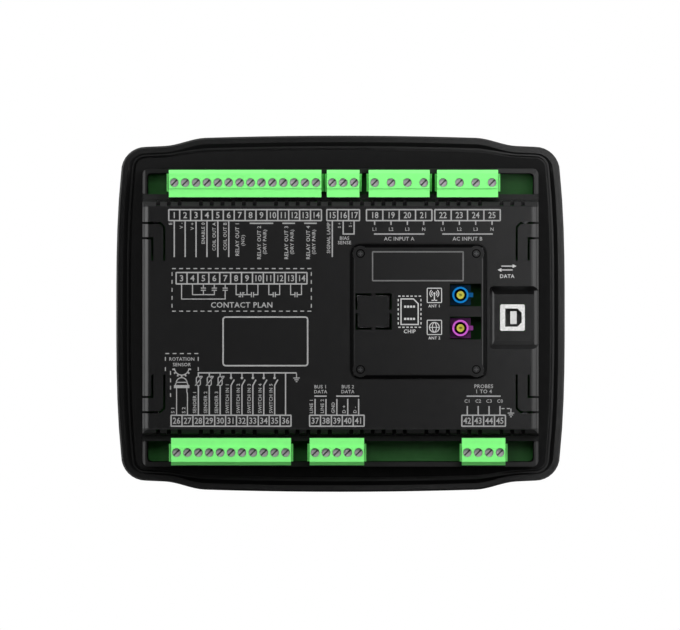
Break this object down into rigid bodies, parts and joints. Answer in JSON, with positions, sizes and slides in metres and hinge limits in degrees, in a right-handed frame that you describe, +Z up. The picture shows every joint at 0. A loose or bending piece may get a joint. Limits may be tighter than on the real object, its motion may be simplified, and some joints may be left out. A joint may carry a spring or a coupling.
{
  "type": "genset controller",
  "caption": "Panel-mount generator controller with a bowed black bezel, a boxy rear housing with rows of green plug-in screw terminals, a radio module and a data socket.",
  "frame": {"origin": "centre of the panel cut-out, on the face of the panel", "axes": "+X to the right as seen from behind, +Y out of the display side, +Z up"},
  "size_m": [0.209, 0.0469, 0.166],
  "materials": {
    "black_shell": "fine moulded texture",
    "gasket": "soft black rubber",
    "faceplate": "printed film, satin",
    "window": "clear polished",
    "lcd": "grey-green display",
    "board": "green solder mask",
    "mat": "silicone rubber",
    "lens": "clear moulded",
    "key_red": "satin silicone",
    "key_grey": "satin silicone",
    "key_green": "satin silicone",
    "black_part": "moulded",
    "screw_steel": "plated",
    "pin_metal": "tinned",
    "header_green": "moulded",
    "plug_green": "moulded, satin",
    "terminal_steel": "plated",
    "cage_metal": "plated",
    "holder_metal": "pressed sheet",
    "socket_blue": "moulded",
    "socket_violet": "moulded",
    "contact_gold": "gold plated",
    "usb_metal": "plated sheet",
    "tongue_white": "moulded"
  },
  "bodies": {
    "case": {"front_housing": "black_shell", "panel_gasket": "gasket", "faceplate": "faceplate", "display_window": "window", "lcd_module": "lcd", "display_board": "board", "keypad_mat": "mat", "indicator_lenses": "lens", "main_board": "board", "board_links": "black_part", "board_screws": "screw_steel", "relays": "black_part", "processor": "black_part", "header_pins": "pin_metal", "header_a": "header_green", "header_b": "header_green", "header_c": "header_green", "header_d": "header_green", "header_e": "header_green", "header_f": "header_green", "header_g": "header_green", "rear_cover": "black_shell", "module_cover": "black_shell", "module_screws": "screw_steel", "module_board": "board", "card_holder": "holder_metal", "socket_blue": "socket_blue", "socket_violet": "socket_violet", "socket_contacts": "contact_gold", "usb_shell": "usb_metal", "usb_tongue": "tongue_white"},
    "plug_a": {"plug_a": "plug_green", "screws_a": "terminal_steel", "cages_a": "cage_metal"},
    "plug_b": {"plug_b": "plug_green", "screws_b": "terminal_steel", "cages_b": "cage_metal"},
    "plug_c": {"plug_c": "plug_green", "screws_c": "terminal_steel", "cages_c": "cage_metal"},
    "plug_d": {"plug_d": "plug_green", "screws_d": "terminal_steel", "cages_d": "cage_metal"},
    "plug_e": {"plug_e": "plug_green", "screws_e": "terminal_steel", "cages_e": "cage_metal"},
    "plug_f": {"plug_f": "plug_green", "screws_f": "terminal_steel", "cages_f": "cage_metal"},
    "plug_g": {"plug_g": "plug_green", "screws_g": "terminal_steel", "cages_g": "cage_metal"},
    "key_stop": {"key_stop": "key_red"},
    "key_manual": {"key_manual": "key_grey"},
    "key_auto": {"key_auto": "key_grey"},
    "key_start": {"key_start": "key_green"},
    "key_up": {"key_up": "key_grey"},
    "key_down": {"key_down": "key_grey"},
    "key_enter": {"key_enter": "key_grey"},
    "key_back": {"key_back": "key_grey"}
  },
  "joints": [
    {"name": "key_stop_press", "type": "slide", "parent": "case", "child": "key_stop", "axis": [0, -1, 0], "range_m": [0, 0.001], "stiffness_N_per_m": 1500},
    {"name": "key_manual_press", "type": "slide", "parent": "case", "child": "key_manual", "axis": [0, -1, 0], "range_m": [0, 0.001], "stiffness_N_per_m": 1500},
    {"name": "key_auto_press", "type": "slide", "parent": "case", "child": "key_auto", "axis": [0, -1, 0], "range_m": [0, 0.001], "stiffness_N_per_m": 1500},
    {"name": "key_start_press", "type": "slide", "parent": "case", "child": "key_start", "axis": [0, -1, 0], "range_m": [0, 0.001], "stiffness_N_per_m": 1500},
    {"name": "key_up_press", "type": "slide", "parent": "case", "child": "key_up", "axis": [0, -1, 0], "range_m": [0, 0.001], "stiffness_N_per_m": 1500},
    {"name": "key_down_press", "type": "slide", "parent": "case", "child": "key_down", "axis": [0, -1, 0], "range_m": [0, 0.001], "stiffness_N_per_m": 1500},
    {"name": "key_enter_press", "type": "slide", "parent": "case", "child": "key_enter", "axis": [0, -1, 0], "range_m": [0, 0.001], "stiffness_N_per_m": 1500},
    {"name": "key_back_press", "type": "slide", "parent": "case", "child": "key_back", "axis": [0, -1, 0], "range_m": [0, 0.001], "stiffness_N_per_m": 1500},
    {"name": "plug_a_pull", "type": "slide", "parent": "case", "child": "plug_a", "axis": [0, -1, 0], "range_m": [0, 0.02]},
    {"name": "plug_b_pull", "type": "slide", "parent": "case", "child": "plug_b", "axis": [0, -1, 0], "range_m": [0, 0.02]},
    {"name": "plug_c_pull", "type": "slide", "parent": "case", "child": "plug_c", "axis": [0, -1, 0], "range_m": [0, 0.02]},
    {"name": "plug_d_pull", "type": "slide", "parent": "case", "child": "plug_d", "axis": [0, -1, 0], "range_m": [0, 0.02]},
    {"name": "plug_e_pull", "type": "slide", "parent": "case", "child": "plug_e", "axis": [0, -1, 0], "range_m": [0, 0.02]},
    {"name": "plug_f_pull", "type": "slide", "parent": "case", "child": "plug_f", "axis": [0, -1, 0], "range_m": [0, 0.02]},
    {"name": "plug_g_pull", "type": "slide", "parent": "case", "child": "plug_g", "axis": [0, -1, 0], "range_m": [0, 0.02]}
  ]
}
